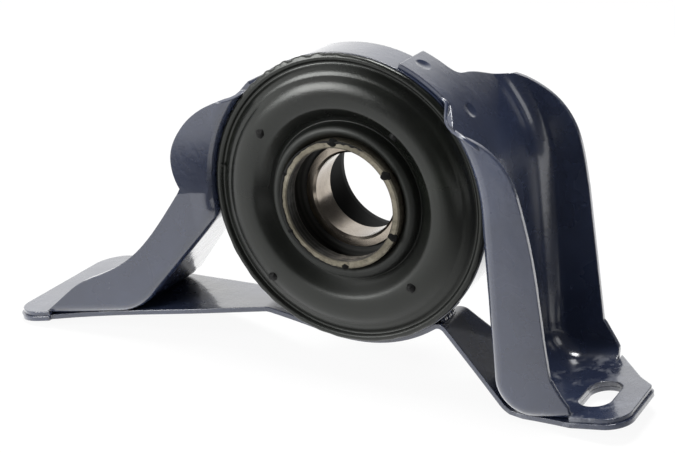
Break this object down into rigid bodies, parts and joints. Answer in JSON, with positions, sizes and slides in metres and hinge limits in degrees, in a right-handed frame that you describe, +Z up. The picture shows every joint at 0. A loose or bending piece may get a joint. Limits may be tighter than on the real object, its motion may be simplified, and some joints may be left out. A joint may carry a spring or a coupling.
{
  "type": "driveshaft centre bearing",
  "caption": "Driveshaft centre support: sealed ball bearing in a rubber cushion and steel ring, held by a pressed steel bracket with two slotted feet.",
  "frame": {"origin": "centre of the ball bearing, on the shaft's axis", "axes": "+Y along the shaft towards the rear boot, +Z up, square to both feet, +X towards the upright right leg"},
  "size_m": [0.2746, 0.0769, 0.1472],
  "materials": {
    "bracket_paint": "gloss",
    "ring_steel": "satin",
    "moulded_rubber": "satin",
    "boot_rubber": "satin",
    "seal_rubber": "matte",
    "sleeve_steel": "satin",
    "bearing_steel": "polished",
    "cage_steel": "satin",
    "ball_steel": "polished"
  },
  "bodies": {
    "housing": {"outer_ring": "ring_steel", "rubber_cushion": "moulded_rubber", "inner_sleeve": "sleeve_steel", "outer_race": "bearing_steel", "seal_front": "seal_rubber", "seal_rear": "seal_rubber", "rear_dust_boot": "boot_rubber", "left_leg": "bracket_paint", "right_leg": "bracket_paint", "lower_strap": "bracket_paint"},
    "inner_race": {"inner_race": "bearing_steel"},
    "cage": {"cage_front": "cage_steel", "cage_rear": "cage_steel", "ball_01": "ball_steel", "ball_02": "ball_steel", "ball_03": "ball_steel", "ball_04": "ball_steel", "ball_05": "ball_steel", "ball_06": "ball_steel", "ball_07": "ball_steel", "ball_08": "ball_steel", "ball_09": "ball_steel", "ball_10": "ball_steel", "ball_11": "ball_steel", "cage_rivet_01": "cage_steel", "cage_rivet_02": "cage_steel", "cage_rivet_03": "cage_steel", "cage_rivet_04": "cage_steel", "cage_rivet_05": "cage_steel", "cage_rivet_06": "cage_steel", "cage_rivet_07": "cage_steel", "cage_rivet_08": "cage_steel", "cage_rivet_09": "cage_steel", "cage_rivet_10": "cage_steel", "cage_rivet_11": "cage_steel"}
  },
  "joints": [
    {"name": "race_spin", "type": "hinge", "parent": "housing", "child": "inner_race", "pos_m": [0, 0, 0], "axis": [0, 1, 0], "continuous": true},
    {"name": "cage_spin", "type": "hinge", "parent": "housing", "child": "cage", "pos_m": [0, 0, 0], "axis": [0, 1, 0], "continuous": true}
  ],
  "couplings": [
    {"joint": "cage_spin", "follows": "race_spin", "ratio": 0.418}
  ]
}
